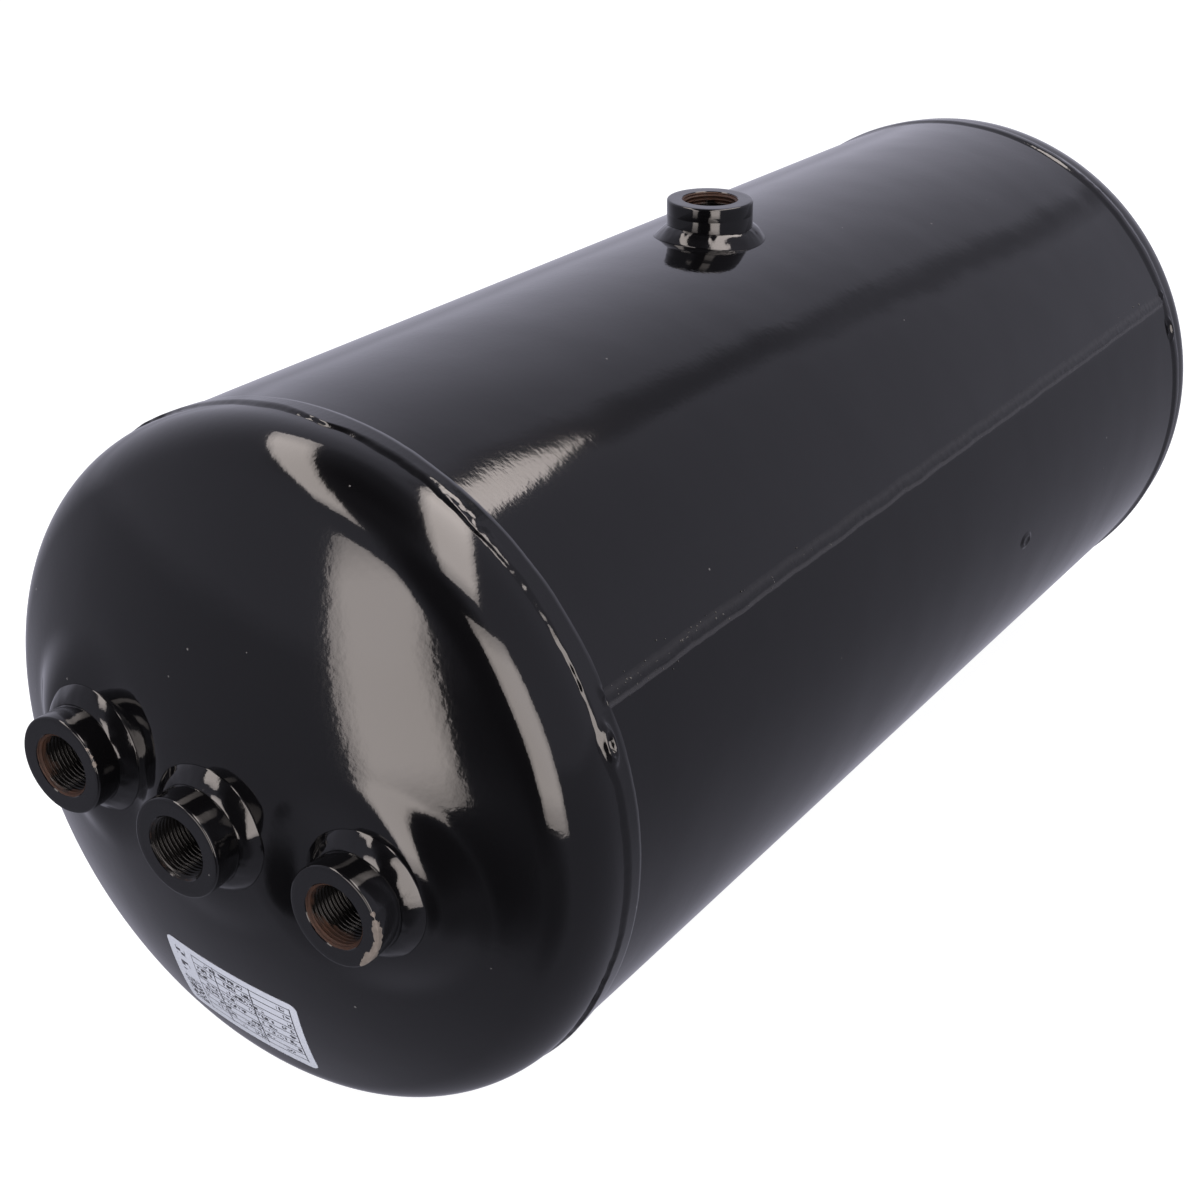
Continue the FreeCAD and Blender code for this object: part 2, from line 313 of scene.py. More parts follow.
def seam_paint():
    """Paint over the long seam, with painted highlights: pale bands on its two flanks, broken along them.
    """
    shader = Shader("seam_paint", **PAINT)
    across = shader.node("UVMap", {"uv_map": "seam"}).outputs["UV"]
    share = shader.node("SeparateXYZ", Vector=across).outputs["Y"]
    wobble = shader.math("MULTIPLY", shader.noise(70.0, 3.0), 0.16)
    place = shader.math("ADD", share, shader.math("SUBTRACT", wobble, 0.08))
    # The pale bands on the two flanks are painted highlight lines, and the colour dips a little below the
    # paint's black just off the ridge; the wobble makes the bands waver along the seam.
    pale = shader.ramp(place, (0.02, (0.0022, 0.0022, 0.0026)), (0.16, (0.022, 0.022, 0.025)),
                       (0.28, (0.018, 0.018, 0.020)), (0.37, (0.0015, 0.0015, 0.0018)),
                       (0.50, (0.003, 0.003, 0.0034)), (0.70, (0.010, 0.010, 0.011)),
                       (0.98, (0.0022, 0.0022, 0.0026)))
    haze = shader.noise(300.0, 2.0)
    shader.wear(Base_Color=pale, Roughness=shader.ramp(haze, (0.3, grey(0.10)), (0.7, grey(0.28))))
    grain = shader.noise(700.0, 3.0, 0.7)
    lumps = shader.noise(260.0, 2.0)
    shader.bump((lumps, 0.00018), (grain, 0.00005))
    return shader.material


def spatter_paint():
    """Dull paint on balls of spatter."""
    shader = Shader("spatter_paint", Roughness=0.35)
    patches = shader.noise(900.0, 2.0)
    shader.wear(Base_Color=shader.ramp(patches, (0.3, grey(0.01)), (0.7, grey(0.07))))
    shader.bump((shader.noise(1500.0, 2.0), 0.00003))
    return shader.material


CHIP_WANDER = 3.5 * MM


def knock_bare(shader, chips):
    """Ragged spots of bare steel in the paint; chips are (place, radius)."""
    ragged = shader.node("TexNoise", Vector=shader.place(), Scale=260.0, Detail=4.0, Roughness=0.65)
    offset = shader.node("VectorMath", {"operation": "SCALE"}, Vector=ragged.outputs["Color"],
                         Scale=CHIP_WANDER)
    bent = shader.node("VectorMath", {"operation": "ADD"}, _0=shader.place(), _1=offset.outputs["Vector"])
    bare = 0.0
    for place, radius in chips:
        middle = place + Vector((1, 1, 1)) * CHIP_WANDER / 2
        away = shader.node("VectorMath", {"operation": "DISTANCE"}, _0=bent.outputs["Vector"], _1=middle)
        spot = shader.math("LESS_THAN", away.outputs["Value"], radius)
        bare = shader.math("MAXIMUM", spot, bare)
    steel = shader.mix(shader.noise(600.0, 3.0), (0.16, 0.14, 0.125, 1), (0.075, 0.062, 0.052, 1))
    shader.wear(Base_Color=shader.mix(bare, BLACK, steel),
                Roughness=shader.ramp(bare, (0, grey(0.08)), (1, grey(0.45))))


def boss_paint(name, chips=()):
    """Thin paint over turned steel, with its chips."""
    shader = Shader(name, **PAINT)
    if chips:
        knock_bare(shader, chips)
    else:
        dust(shader)
    peel = shader.noise(500.0, 2.0)
    lumps = shader.noise(90.0, 1.0)
    shader.bump((lumps, 0.00010), (peel, 0.00002))
    return shader.material


def rim_chips(port, *spots):
    """Chips on a boss's outer edge: (degrees below -Y towards -Z, radius in mm) each."""
    _, y, z = MOUNTS[port]["pos_m"]
    chips = []
    for degrees, radius in spots:
        turn = radians(degrees)
        over, down = BOSS_RADIUS * cos(turn), BOSS_RADIUS * sin(turn)
        chips.append((Vector((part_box(f"{port}_boss")[0].x, y - over, z - down)), radius * MM))
    return chips


def thread_steel(name, rust_share, rust_reach):
    """Dark glossy thread; brown rust covers part of the mouth's ring and its first turns."""
    steel = (0.004, 0.0038, 0.0036, 1)
    shader = Shader(name, Base_Color=steel, Roughness=0.25, Specular_IOR_Level=0.3)
    depth = shader.node("UVMap", {"uv_map": "bore"}).outputs["UV"]
    inward = shader.node("SeparateXYZ", Vector=depth).outputs["Y"]
    patchy = shader.math("SUBTRACT", shader.noise(60.0, 4.0, 0.7), 1.0 - rust_share)
    near = shader.math("SUBTRACT", shader.math("MULTIPLY", patchy, rust_reach), inward)
    rusty = shader.ramp(near, (0.0, grey(0)), (0.12, grey(1)))
    rust = shader.mix(shader.noise(420.0, 3.0), (0.050, 0.019, 0.008, 1), (0.010, 0.006, 0.005, 1))
    shader.wear(Base_Color=shader.mix(rusty, steel, rust),
                Roughness=shader.ramp(rusty, (0.0, grey(0.2)), (1.0, grey(0.6))))
    return shader.material


# Chips as (degrees, radius in mm)
LEFT_CHIPS = ((-38, 1.0), (-20, 0.9), (-28, 0.6))
RIGHT_CHIPS = ((-22, 1.0), (-12, 1.7), (-4, 1.9), (4, 1.8), (12, 1.7), (20, 2.0), (28, 2.3), (36, 2.8),
               (44, 2.6), (52, 1.6), (80, 0.8))

PAINT_HEAD = sheet_paint("head_paint", (300.0, 120.0, 120.0), 0.000012, 0.00002)
PAINT_SHELL = sheet_paint("shell_paint", (900.0, 90.0, 90.0), 0.000010, 0.00003)
PAINT_WELD = weld_paint()
PAINT_SEAM = seam_paint()
PAINT_SPATTER = spatter_paint()
PAINT_BOSS = boss_paint("boss_paint")
PAINT_CHIPPED = boss_paint("boss_paint_chipped", rim_chips("front_port_right", *RIGHT_CHIPS))
PAINT_WORN = boss_paint("boss_paint_worn", rim_chips("front_port_left", *LEFT_CHIPS))
THREAD_RUSTY = thread_steel("thread_rusty", 0.74, 1.1)
THREAD_CLEAN = thread_steel("thread_clean", 0.50, 0.5)

# ---------------------------------------------------------------- heads

HEAD_SPAN = CROWN_RADIUS - KNUCKLE_RADIUS
CROWN_ANGLE = asin((SHELL_RADIUS - KNUCKLE_RADIUS) / HEAD_SPAN)
CROWN_CENTRE = FLANGE_END - HEAD_SPAN * cos(CROWN_ANGLE)
HEAD_SECTORS = 288
FLAT_INNER = 20 * MM
FLAT_OUTER = 40 * MM
FLAT_SHARE = 0.75

# Holes under the bosses: cleared wide, then the rim is drawn in
CLEAR_RADIUS = SPIGOT_RADIUS + 1 * MM
HOLE_RADIUS = SPIGOT_RADIUS + 0.5 * MM
RIM_REACH = 1.3 * BOSS_RADIUS
HOLE_REACH = 3 * BOSS_RADIUS


def crown_depth(radius):
    """Axial distance from mid length to the crown's surface at a radius."""
    return CROWN_CENTRE + sqrt(CROWN_RADIUS ** 2 - radius ** 2)


def head_profile():
    """Points (axial, radius) from the apex to the end of the skirt."""
    crown_rows, knuckle_rows = 44, 20
    points = []
    for row in range(1, crown_rows + 1):
        angle = CROWN_ANGLE * row / crown_rows
        radius = CROWN_RADIUS * sin(angle)
        points.append((CROWN_CENTRE + CROWN_RADIUS * cos(angle), radius))
    for row in range(1, knuckle_rows + 1):
        angle = CROWN_ANGLE + (pi / 2 - CROWN_ANGLE) * row / knuckle_rows
        points.append((FLANGE_END + KNUCKLE_RADIUS * cos(angle),
                       SHELL_RADIUS - KNUCKLE_RADIUS + KNUCKLE_RADIUS * sin(angle)))
    for axial in (FLANGE_END - 1 * MM, SHOULDER + JOGGLE_RUN + 1 * MM, SHOULDER + JOGGLE_RUN):
        points.append((axial, SHELL_RADIUS))
    points.append((SHOULDER, SKIRT_RADIUS))
    points.append((SKIRT_END, SKIRT_RADIUS))
    return points


def front_ports():
    """The three mounts in a row on the front head."""
    return [MOUNTS[name] for name in MOUNTS if name.startswith("front_port")]


def pressed_depth(axial, y, z):
    """The crown's depth where the sheet is pressed towards a flat under each boss."""
    for port in front_ports():
        _, port_y, port_z = port["pos_m"]
        gap = hypot(y - port_y, z - port_z)
        if gap < FLAT_OUTER and axial > FLANGE_END:
            flat = crown_depth(hypot(port_y, port_z))
            share = FLAT_SHARE * (1 - smooth_step(gap, FLAT_INNER, FLAT_OUTER))
            axial += (flat - axial) * share
    return axial


def make_head(name, node, side, ported):
    """A dished head as one sheet of the wall's thickness; side is -1 or 1 along X."""
    profile = head_profile()
    points = []
    for axial, radius in profile:
        for sector in range(HEAD_SECTORS):
            angle = 2 * pi * sector / HEAD_SECTORS
            y, z = radius * cos(angle), radius * sin(angle)
            depth = pressed_depth(axial, y, z) if ported else axial
            points.append((side * depth, y, z))
    faces = grid_faces(len(profile), HEAD_SECTORS)
    apex = len(points)
    points.append((side * crown_depth(0), 0, 0))
    for sector in range(HEAD_SECTORS):
        faces.append((apex, (sector + 1) % HEAD_SECTORS, sector))
    head = new_object(name, points, faces, [PAINT_HEAD])
    if ported:
        cut_holes(head, [Vector(port["pos_m"]) for port in front_ports()], Vector((1, 0, 0)))
    thicken(head, Vector((side, 0, 0)))
    return give(head, "gloss_black_paint", node)


def cut_holes(piece, centres, axis):
    """Open a round hole round each axis, its rim hidden under the boss."""
    shape = bmesh.new()
    shape.from_mesh(piece.data)

    def spoke(place, centre):
        offset = place - centre
        return offset - axis * offset.dot(axis)

    for centre in centres:
        doomed = [face for face in shape.faces
                  if spoke(face.calc_center_median(), centre).length < CLEAR_RADIUS
                  and (face.calc_center_median() - centre).length < HOLE_REACH]
        bmesh.ops.delete(shape, geom=doomed, context="FACES")
        for corner in shape.verts:
            arm = spoke(corner.co, centre)
            if corner.is_boundary and arm.length < RIM_REACH and corner.link_faces:
                if (corner.co - centre).length < HOLE_REACH:
                    corner.co += arm.normalized() * (HOLE_RADIUS - arm.length)
    shape.to_mesh(piece.data)
    shape.free()


def thicken(piece, outside):
    """Give a surface the sheet's thickness, away from the side its first face has to look to."""
    outward_faces(piece)
    if piece.data.polygons[0].normal.dot(outside) < 0:
        piece.data.flip_normals()
    sheet = piece.modifiers.new("sheet", "SOLIDIFY")
    sheet.thickness = WALL
    sheet.offset = -1
    apply_modifiers(piece)


# ---------------------------------------------------------------- shell

PEAK_HEIGHT = 0.35 * MM
PEAK_WIDTH = 7 * MM
PUCKER = 0.06 * MM
PUCKER_WIDTH = 9 * MM
PUCKER_INSET = 12 * MM
END_ZONE = 25 * MM
PORT_ZONE = 36 * MM


def shell_angles():
    """Angles round the shell, closer together beside the seam."""
    coarse, fine, near = radians(1.25), radians(0.3), radians(9)
    angles, angle = [], SEAM_ANGLE - pi
    while angle < SEAM_ANGLE + pi - coarse / 2:
        angles.append(angle)
        angle += fine if abs(turn_gap(angle + fine / 2, SEAM_ANGLE)) < near else coarse
    return angles


def shell_stations():
    """Places along the shell, closer together at the port and the ends."""
    marks = ((-SHELL_HALF, 12), (END_ZONE - SHELL_HALF, 22), (-PORT_ZONE, 36), (PORT_ZONE, 22),
             (SHELL_HALF - END_ZONE, 12), (SHELL_HALF, 0))
    places = []
    for (start, steps), (end, _) in zip(marks, marks[1:]):
        places += [start + (end - start) * step / steps for step in range(steps)]
    return places + [SHELL_HALF]


def shell_lift(x, angle):
    """How far the rolled sheet stands off a true cylinder."""
    arc = turn_gap(angle, SEAM_ANGLE) * SHELL_RADIUS
    peak = PEAK_HEIGHT * hump(arc, PEAK_WIDTH)
    pull = PUCKER * hump(SHELL_HALF - PUCKER_INSET - abs(x), PUCKER_WIDTH)
    return peak - pull


def make_shell():
    """The rolled sheet, peaked a little along its seam and open under its boss."""
    angles, stations = shell_angles(), shell_stations()
    points = [around(x, angle, SHELL_RADIUS + shell_lift(x, angle))
              for x in stations for angle in angles]
    shell = new_object("rolled_shell", points, grid_faces(len(stations), len(angles)), [PAINT_SHELL])
    cut_holes(shell, [Vector(MOUNTS["shell_port"]["pos_m"])], Vector((0, 0, 1)))
    first = shell.data.polygons[0].center
    thicken(shell, Vector((0, first.y, first.z)))
    return give(shell, "gloss_black_paint", "shell")


# ---------------------------------------------------------------- welds

RIPPLE_PITCH = 2.1 * MM
RIPPLE_HEIGHT = 0.007 * MM
GIRTH_STEPS = 1440
GIRTH_ROWS = 45
SHELL_TOE = 0.8 * MM
HEAD_TOE = 1.2 * MM
ROOT_INSET = 3 * MM
ROOT_DEPTH = 1 * MM
# Share of the bead's width that its head side falls over, and how much less where it is steep
FALL_SHARE = 0.42
STEEP_CUT = 0.31
# Where each run stops: its angle and how far it lies off the bead's middle, towards the head
STOPS = {"front": (radians(160.2), 3.4 * MM), "rear": (radians(161.5), -2.8 * MM)}
STOP_LENGTH = 8 * MM
DRIP_ANGLE = radians(153.6)
DRIP_HEIGHT = 1.7 * MM
ROUGH_ANGLE = radians(120)
# Arcs where the front bead is steep: middle and width in degrees
STEEP_ARCS = ((150, 17), (124, 7), (96, 6), (60, 9), (205, 14), (255, 8), (310, 16), (5, 10))


def stop_lump(arc, across):
    """The raised end of a weld run: a rim round the crater where the arc went out."""
    lump = 0.5 * MM * hump(arc, STOP_LENGTH) * hump(across, 3.4 * MM)
    reach = hypot(arc / (4.6 * MM), across / (2.0 * MM))
    rim = 1.7 * MM * hump(reach - 1, 0.42)
    crater = 1.6 * MM * hump(reach, 0.7)
    return lump + rim - crater


def steepness(angle):
    """1 where the bead's head side is steep, and 0 where it runs out gently."""
    return min(1.0, sum(hump(turn_gap(angle, radians(middle)), radians(width))
                        for middle, width in STEEP_ARCS))


def rough_run(angle, x):
    """Crumbly skin along the stretch where two runs overlap."""
    share = hump(turn_gap(angle, ROUGH_ANGLE), radians(8))
    share *= smooth_step(x, SHOULDER, SHOULDER + 3 * MM)
    arc = angle * SHELL_RADIUS
    grain = noise.noise(Vector((arc * 300, x * 420, 3.3)))
    grain += 1.2 * noise.noise(Vector((arc * 110, x * 240, 9.1)))
    return 0.20 * MM * share * grain


def girth_toes(angle, arc, stop_offset, seed):
    """Where the bead runs out on the shell and on the head, as places along the tank."""
    shell_toe = BEAD_BOX[0].x + SHELL_TOE + 0.35 * MM * ring_noise(angle, 9, seed)
    shell_toe += 0.10 * MM * ring_noise(angle, 45, seed)
    head_toe = BEAD_BOX[1].x + HEAD_TOE + 0.7 * MM * ring_noise(angle, 13, seed + 5)
    head_toe += 0.3 * MM * ring_noise(angle, 40, seed)
    if stop_offset > 0:
        head_toe += 2.0 * MM * hump(arc, STOP_LENGTH)
    return shell_toe, head_toe


def girth_rise(share, side):
    """Share of the height on the way up from the shell: a step in front, and a slope behind."""
    if side < 0:
        return sqrt(smooth_step(share, 0, 0.22)) * (0.45 + 0.55 * share)
    return 0.85 * smooth_step(share, 0, 0.45)


def make_girth_bead(name, node, side, seed):
    """Ring bead over a shoulder, with uneven toes and the ends of its runs."""
    crown = BEAD_BOX[1].z - SHELL_RADIUS - 0.1 * MM
    stop_angle, stop_offset = STOPS["front" if side < 0 else "rear"]
    points = []
    for step in range(GIRTH_STEPS):
        angle = 2 * pi * step / GIRTH_STEPS
        arc = turn_gap(angle, stop_angle) * SHELL_RADIUS
        drip = DRIP_HEIGHT * hump(turn_gap(angle, DRIP_ANGLE) * SHELL_RADIUS, 1.8 * MM)
        shell_toe, head_toe = girth_toes(angle, arc, stop_offset, seed)
        height = crown * (0.93 + 0.07 * ring_noise(angle, 10, seed + 9))
        fall_share = FALL_SHARE
        if side < 0:
            fall_share -= STEEP_CUT * steepness(angle) * (1 + 0.25 * ring_noise(angle, 22, seed + 14))
        for row in range(GIRTH_ROWS):
            share = 0.5 - 0.5 * cos(pi * row / (GIRTH_ROWS - 1))
            x = shell_toe + (head_toe - shell_toe) * share
            across = x - SHOULDER
            shape = girth_rise(share, side) * smooth_step(1 - share, 0, fall_share)
            lag = 1.6 * MM * (2 * share - 1) ** 2
            ripple = RIPPLE_HEIGHT * sin(2 * pi * (angle * SHELL_RADIUS + lag) / RIPPLE_PITCH)
            extra = stop_lump(arc, across - stop_offset) + drip * hump(across + 1.4 * MM, 1.1 * MM)
            lift = shape * (height + ripple + extra + rough_run(angle, x))
            points.append(around(side * x, angle, SHELL_RADIUS - 0.06 * MM + lift))
        for x in (BEAD_BOX[1].x - ROOT_INSET, BEAD_BOX[0].x + ROOT_INSET):
            points.append(around(side * x, angle, SHELL_RADIUS - ROOT_DEPTH))
    faces = grid_faces(GIRTH_STEPS, GIRTH_ROWS + 2, close_rows=True)
    bead = new_object(name, points, faces, [PAINT_WELD])
    outward_faces(bead)
    return give(bead, "painted_weld", node)


def add_balls(piece, places):
    """Add half-sunk balls of spatter to a piece's mesh."""
    shape = bmesh.new()
    shape.from_mesh(piece.data)
    for number, place in enumerate(places):
        size = (0.14 + 0.40 * abs(noise.noise(Vector((number * 0.73, 1.0, 0.5))))) * MM
        made = bmesh.ops.create_icosphere(shape, subdivisions=2, radius=size,
                                          matrix=Matrix.Translation(place))
        for corner in made["verts"]:
            for face in corner.link_faces:
                face.smooth = True
                face.material_index = 1
    shape.to_mesh(piece.data)
    shape.free()


SEAM_HALF_WIDTH = 4.2 * MM
SEAM_HEIGHT = 0.45 * MM
SEAM_ROWS = 17
SEAM_REACH = BEAD_BOX[0].x + 3 * MM
SPATTER_COUNT = 64
# Lumps near the seam's far end: place along in metres, arc in millimetres
FAR_LUMPS = ((0.186, 5.0), (0.193, 5.4), (0.212, 4.4), (0.205, 5.0))


def seam_height(x, share):
    """Lift of the seam: a broad low crown with a narrow uneven ridge off its middle."""
    broad = 0.5 - 0.5 * cos(2 * pi * share)
    ridge = hump(share - 0.34, 0.10) * (1 + 0.5 * noise.noise(Vector((x * 260, 7.7, 0))))
    rough = 0.05 * MM * noise.noise(Vector((x * 500, share * 9, 2.0))) * broad
    return SEAM_HEIGHT * 0.55 * broad + SEAM_HEIGHT * 0.5 * ridge + rough


def on_shell(x, arc, lift):
    """A point at an arc length round from the seam, lifted off the rolled sheet."""
    angle = SEAM_ANGLE + arc / SHELL_RADIUS
    return around(x, angle, SHELL_RADIUS + shell_lift(x, angle) + lift)


def spatter_places():
    """Where balls of spatter lie: most near the front end, and lumps near the far end."""
    places = []
    for number in range(SPATTER_COUNT):
        run = abs(noise.noise(Vector((number * 1.37, 0.2, 4.0)))) * 2.2
        x = -SEAM_REACH + 4 * MM + 75 * MM * run * (1 if number % 3 else 2.5)
        arc = 9 * MM * noise.noise(Vector((number * 0.91, 2.2, 8.0)))
        places.append(on_shell(min(x, SEAM_REACH - 10 * MM), arc, 0.15 * MM))
    places += [on_shell(x, -arc * MM, 0.0) for x, arc in FAR_LUMPS]
    return places


def make_seam_bead():
    """Straight seam: a low crown with an uneven ridge and soft toes, and spatter near its start."""
    steps = int(2 * SEAM_REACH / (0.8 * MM))
    points, flat = [], []
    for step in range(steps + 1):
        x = -SEAM_REACH + 2 * SEAM_REACH * step / steps
        wander = 0.5 * MM * noise.noise(Vector((x * 60, 3.1, 0)))
        wander += 0.2 * MM * noise.noise(Vector((x * 260, 5.1, 0)))
        for row in range(SEAM_ROWS):
            share = row / (SEAM_ROWS - 1)
            arc = SEAM_HALF_WIDTH * (1 - 2 * share) + wander
            points.append(on_shell(x, arc, seam_height(x, share) - 0.03 * MM))
            flat.append((x, share))
        for arc in (-SEAM_HALF_WIDTH / 2, SEAM_HALF_WIDTH / 2):
            points.append(on_shell(x, arc, -1 * MM))
            flat.append((x, 0.5))
    columns = SEAM_ROWS + 2
    faces = grid_faces(steps + 1, columns)
    faces.append(tuple(range(columns)))
    faces.append(tuple(reversed(range(steps * columns, (steps + 1) * columns))))
    bead = new_object("seam_bead", points, faces, [PAINT_SEAM, PAINT_SPATTER])
    spread_flat(bead, "seam", flat)
    outward_faces(bead)
    add_balls(bead, spatter_places())
    return give(bead, "painted_weld", "shell_seam_weld")


BLISTER_PLACE = (59.8 * MM, radians(182.1))
BLISTER_LENGTH = 6.4 * MM
BLISTER_WIDTH = 4.0 * MM


def make_blister():
    """A small blister of paint on the side, with a raised ring and a sunken middle."""
    rings, sectors = 12, 40
    x0, angle0 = BLISTER_PLACE
    points = []
    for ring in range(rings + 1):
        share = ring / rings
        lift = 0.75 * MM * hump(share - 0.55, 0.22) + 0.15 * MM * hump(share, 0.3) - 0.06 * MM
        for sector in range(sectors):
            turn = 2 * pi * sector / sectors
            uneven = 1 + 0.12 * ring_noise(turn, 1.5, 2.0)
            x = x0 + BLISTER_LENGTH * share * uneven * cos(turn)
            angle = angle0 + BLISTER_WIDTH * share * uneven * sin(turn) / SHELL_RADIUS
            points.append(around(x, angle, SHELL_RADIUS + lift))
    blister = new_object("paint_blister", points, grid_faces(rings + 1, sectors), [PAINT_SHELL])
    outward_faces(blister)
    if blister.data.polygons[0].normal.dot(points[0] - Vector((x0, 0, 0))) < 0:
        blister.data.flip_normals()
    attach(blister, BODY)


# ---------------------------------------------------------------- ports

class PortPlace:
    """A port's own frame: Z out along the bore, from the outer surface."""

    def __init__(self, name):
        self.name = name
        mount = MOUNTS[name]
        self.axis = Vector(mount["axis"])
        place = Vector(mount["pos_m"])
        self.on_shell = abs(self.axis.z) > 0.5
        if self.on_shell:
            self.origin = Vector((place.x, place.y, SHELL_RADIUS))
            side = Vector((1, 0, 0))
        else:
            self.origin = Vector((-crown_depth(hypot(place.y, place.z)), place.y, place.z))
            side = Vector((0, 1, 0))
        self.turn = Matrix((side, self.axis.cross(side), self.axis)).transposed()

    def world(self, radius, angle, height):
        """The tank's coordinates of a place given round the bore."""
        local = Vector((radius * cos(angle), radius * sin(angle), height))
        return self.origin + self.turn @ local

    def local(self, place):
        """The port's coordinates of a place."""
        return self.turn.transposed() @ (place - self.origin)

    def ground(self, radius, angle):
        """Height of the painted surface, in the port's frame, at a radius and an angle."""
        place = self.world(radius, angle, 0)
        if self.on_shell:
            return sqrt(SHELL_RADIUS ** 2 - place.y ** 2) - self.origin.z
        depth = pressed_depth(crown_depth(hypot(place.y, place.z)), place.y, place.z)
        return depth + self.origin.x


BOSS_SECTORS = 96
ROWS_PER_PITCH = 12
# The thread's flat crests and roots, as levels of a wave from 0 to 1
CREST_END, ROOT_START = 0.25, 0.875
EDGE_RADIUS = 0.8 * MM
TURNED_LINE = 8.6 * MM
TURNED_DEPTH = 0.05 * MM
PAINTED_DEPTH = 0.25 * MM


def thread_radius(phase):
    """Radius of the tapped bore through one pitch: a 60 degree thread with flat crests."""
    triangle = 1 - abs(2 * phase - 1)
    rise = min(max((triangle - CREST_END) / (ROOT_START - CREST_END), 0.0), 1.0)
    return BORE_RADIUS + (THREAD_RADIUS - BORE_RADIUS) * rise


def bore_grid(port):
    """Points and faces of the tapped bore; its rows follow the thread's helix."""
    low, high = -SPIGOT_END, BOSS_HEIGHT
    rows = int((high - low) / THREAD_PITCH * ROWS_PER_PITCH) + 2 * ROWS_PER_PITCH
    points, faces = [], []
    for row in range(rows + 1):
        for sector in range(BOSS_SECTORS):
            turn = sector / BOSS_SECTORS
            height = low + THREAD_PITCH * (row / ROWS_PER_PITCH - turn)
            height = min(max(height, low), high)
            mouth = MOUTH_RADIUS - (high - height)
            radius = max(thread_radius(row / ROWS_PER_PITCH % 1.0), mouth)
            points.append(port.world(radius, 2 * pi * turn, height))
    for row in range(rows):
        for sector in range(BOSS_SECTORS):
            beside = (sector + 1) % BOSS_SECTORS
            there = row if beside else row - ROWS_PER_PITCH
            if there >= 0:
                faces.append((row * BOSS_SECTORS + sector, there * BOSS_SECTORS + beside,
                              (there + 1) * BOSS_SECTORS + beside, (row + 1) * BOSS_SECTORS + sector))
    return points, faces


def boss_rows(port):
    """Rows (radius, height at an angle) over the boss's face, down its side and its spigot."""
    inner, lower = BOSS_RADIUS - EDGE_RADIUS, BOSS_HEIGHT - EDGE_RADIUS
    groove, line = BOSS_RADIUS - (TURNED_DEPTH if port.on_shell else 0.0), TURNED_LINE
    tops = [(MOUTH_RADIUS, BOSS_HEIGHT), (BOSS_RADIUS - 2.2 * MM, BOSS_HEIGHT), (inner, BOSS_HEIGHT)]
    for share in (0.2, 0.4, 0.6, 0.8, 1.0):
        bend = share * pi / 2
        tops.append((inner + EDGE_RADIUS * sin(bend), lower + EDGE_RADIUS * cos(bend)))
    tops += [(BOSS_RADIUS, BOSS_HEIGHT - 3 * MM), (BOSS_RADIUS, line + 0.25 * MM), (groove, line),
             (groove, line - 0.2 * MM), (BOSS_RADIUS, line - 0.45 * MM), (BOSS_RADIUS, 4 * MM)]
    rows = [(radius, lambda angle, h=height: h) for radius, height in tops]
    for radius in (BOSS_RADIUS, SPIGOT_RADIUS):
        rows.append((radius, lambda angle, r=radius: port.ground(r, angle) - 0.4 * MM))
    for radius in (SPIGOT_RADIUS, THREAD_RADIUS):
        rows.append((radius, lambda angle: -SPIGOT_END))
    return rows


def make_boss(port, paint, thread):
    """Turned boss with a real helical thread in its bore."""
    points, faces = bore_grid(port)
    start = len(points)
    rows = boss_rows(port)
    for radius, height in rows:
        for sector in range(BOSS_SECTORS):
            angle = 2 * pi * sector / BOSS_SECTORS
            points.append(port.world(radius, angle, height(angle)))
    outside = grid_faces(len(rows), BOSS_SECTORS)
    faces += [tuple(start + corner for corner in face) for face in outside]
    boss = new_object(f"{port.name}_turned_boss", points, faces, [paint, thread])
    shape = bmesh.new()
    shape.from_mesh(boss.data)
    bmesh.ops.remove_doubles(shape, verts=shape.verts, dist=1e-6)
    bmesh.ops.dissolve_degenerate(shape, edges=shape.edges, dist=1e-7)
    bmesh.ops.recalc_face_normals(shape, faces=shape.faces)
    layer = shape.loops.layers.uv.new("bore")
    for face in shape.faces:
        middle = port.local(face.calc_center_median())
        inside = hypot(middle.x, middle.y) < MOUTH_RADIUS
        face.material_index = 1 if inside and middle.z < BOSS_HEIGHT - PAINTED_DEPTH else 0
        for loop in face.loops:
            place = port.local(loop.vert.co)
            share = atan2(place.y, place.x) / (2 * pi) + 0.5
            loop[layer].uv = (share, (BOSS_HEIGHT - place.z) / (BOSS_HEIGHT + SPIGOT_END))
    shape.to_mesh(boss.data)
    shape.free()
    boss.data.set_sharp_from_angle(angle=radians(40))
    return give(boss, "painted_boss", f"{port.name}_boss")


WELD_STEPS = 288
WELD_ROWS = 17


